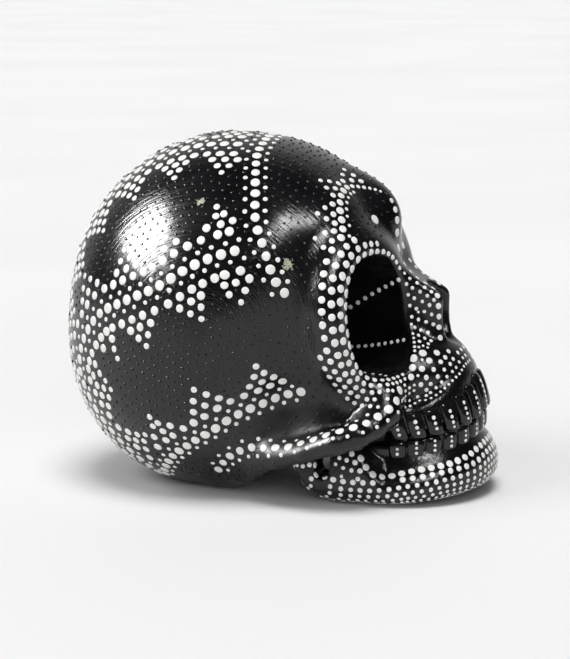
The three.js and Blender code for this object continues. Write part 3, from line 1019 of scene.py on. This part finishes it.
def pin_rings():
    """Tiny raised black dots in rings round the side of the head, wherever there is plain black."""
    dots = Dots("black_pin_dots")
    centre = np.array(VAULT_CENTRE, float)
    white = Dots.taken
    step = PIN_PITCH / PIN_SPHERE
    points = []
    for ring, polar in enumerate(np.arange(0.1, math.pi / 2 + 0.02, step)):
        count = max(3, int(2 * math.pi * math.sin(polar) / step))
        a = (np.arange(count) + 0.5 * (ring % 2)) * 2 * math.pi / count
        ring_width = math.sin(polar)
        way = np.stack([np.full(count, math.cos(polar)), np.cos(a) * ring_width, np.sin(a) * ring_width], -1)
        points.append(centre + way * PIN_SPHERE)
    p = np.vstack(points)
    for _ in range(14):
        outward = (p - centre) / np.linalg.norm(p - centre, axis=1)[:, None]
        p = p - outward * (head(p) * 0.9).clip(-4, 4)[:, None]
    p, n = settle(head, p + rng.normal(0, PIN_SHAKE, p.shape), 2)
    on_skull = (p[:, 2] > 5) & (n[:, 2] > -0.8) & (np.abs(head(p)) < 0.05)
    on_face = (p[:, 1] < -36) & (p[:, 2] < 84)
    from_ring = np.linalg.norm((p - np.array(RING_CENTRE)) / np.array([1, 1, 1.18]), axis=1)
    plain = on_skull & ~on_face & (from_ring > 19.0)
    for q in p[plain & (p[:, 0] > 0)]:
        if np.all(np.linalg.norm(white[:, :3] - q, axis=1) > white[:, 3] / 2 + PIN_CLEARANCE):
            dots.rows.append([*q, PIN_WIDTH])
    return dots


def white_height(size):
    return 0.11 + 0.045 * size


def pin_height(size):
    return 0.3 * size


# an earlier group keeps its dots where two would touch
white_groups = [coronal_row(), side_band(), lower_band(), crown_band(), cheek_arch(), nose_walls(),
                upper_lip(), eye_ring(), brow_dome(), socket_strings()]
for dots in white_groups:
    build_dots(dots, head, WHITE, white_height)
build_dots(jaw_rows(), jaw, WHITE, white_height)
for tooth in teeth:
    if tooth.centre[0] > 0:
        build_dots(tooth_columns(tooth), tooth.field, WHITE, white_height, 10)
build_dots(pin_rings(), head, LACQUER, pin_height, 8)

# ---- floor and light ----------------------------------------------------------------------------
FLOOR_REACH = 14.0                   # metres
FLOOR_DROP = -0.0002                 # just under the skull, so that the two don't flicker


def floor_material():
    material, tree, shader = new_material("floor_paper")
    place = node(tree, "ShaderNodeTexCoord").outputs["Object"]
    patches = noise(tree, place, 3.0, 2.0)
    paper = ramp(tree, patches, (0.80, 0.80, 0.80), (0.83, 0.83, 0.83))
    wire(tree, paper, shader.inputs["Base Color"])
    shader.inputs["Roughness"].default_value = 0.85
    shader.inputs["Specular IOR Level"].default_value = 0.1
    return material


def make_floor():
    """A level sheet whose faces are smaller near the skull."""
    reach = np.linspace(-1, 1, 41)
    reach = np.sign(reach) * np.abs(reach) ** 3 * FLOOR_REACH
    x, y = np.meshgrid(reach, reach, indexing="ij")
    points = np.stack([x, y, np.full_like(x, FLOOR_DROP)], -1).reshape(-1, 3)
    n = len(reach)
    faces = [[i * n + j, (i + 1) * n + j, (i + 1) * n + j + 1, i * n + j + 1]
             for i in range(n - 1) for j in range(n - 1)]
    mesh = bpy.data.meshes.new("floor")
    mesh.from_pydata(points.tolist(), [], faces)
    mesh.materials.append(floor_material())
    floor = bpy.data.objects.new("floor", mesh)
    bpy.context.scene.collection.objects.link(floor)


def add_sun(name, azimuth, elevation, strength, width, mirrored):
    """A far disc of light: either seen only in reflections (mirrored), or only lighting matt surfaces."""
    data = bpy.data.lights.new(name, "SUN")
    data.energy = strength
    data.angle = math.radians(width)
    light = bpy.data.objects.new(name, data)
    light.rotation_mode = "QUATERNION"
    light.rotation_quaternion = toward(azimuth, elevation).to_track_quat("Z", "Y")
    light.visible_glossy = mirrored
    light.visible_diffuse = not mirrored
    bpy.context.scene.collection.objects.link(light)


def make_world():
    """A dark room with a pale backdrop low down behind the object."""
    world = bpy.data.worlds.new("room")
    bpy.context.scene.world = world
    world.use_nodes = True
    tree = world.node_tree
    place = node(tree, "ShaderNodeTexCoord").outputs["Generated"]
    toward_backdrop = node(tree, "ShaderNodeVectorMath", operation="DOT_PRODUCT")
    wire(tree, place, toward_backdrop.inputs[0])
    toward_backdrop.inputs[1].default_value = toward(VIEW_AZIMUTH + 180, 8)
    room, backdrop = (0.035, 0.035, 0.038), (0.70, 0.70, 0.70)
    colour = ramp(tree, toward_backdrop.outputs["Value"], room, backdrop, (0.45, 0.85))
    wire(tree, colour, tree.nodes["Background"].inputs["Color"])
    tree.nodes["Background"].inputs["Strength"].default_value = 1.0


bpy.context.scene.view_settings.view_transform = "Standard"
make_floor()
make_world()
# azimuth, elevation, strength, width in degrees, mirrored
add_sun("overhead", VIEW_AZIMUTH, 80, 2.3, 30, False)
add_sun("window", -150, 40, 0.9, 40, False)
add_sun("fill", VIEW_AZIMUTH, 9, 1.3, 60, False)
add_sun("window_reflection", -157, 32, 10.0, 28, True)
add_sun("top_reflection", -52, 46, 1.3, 14, True)
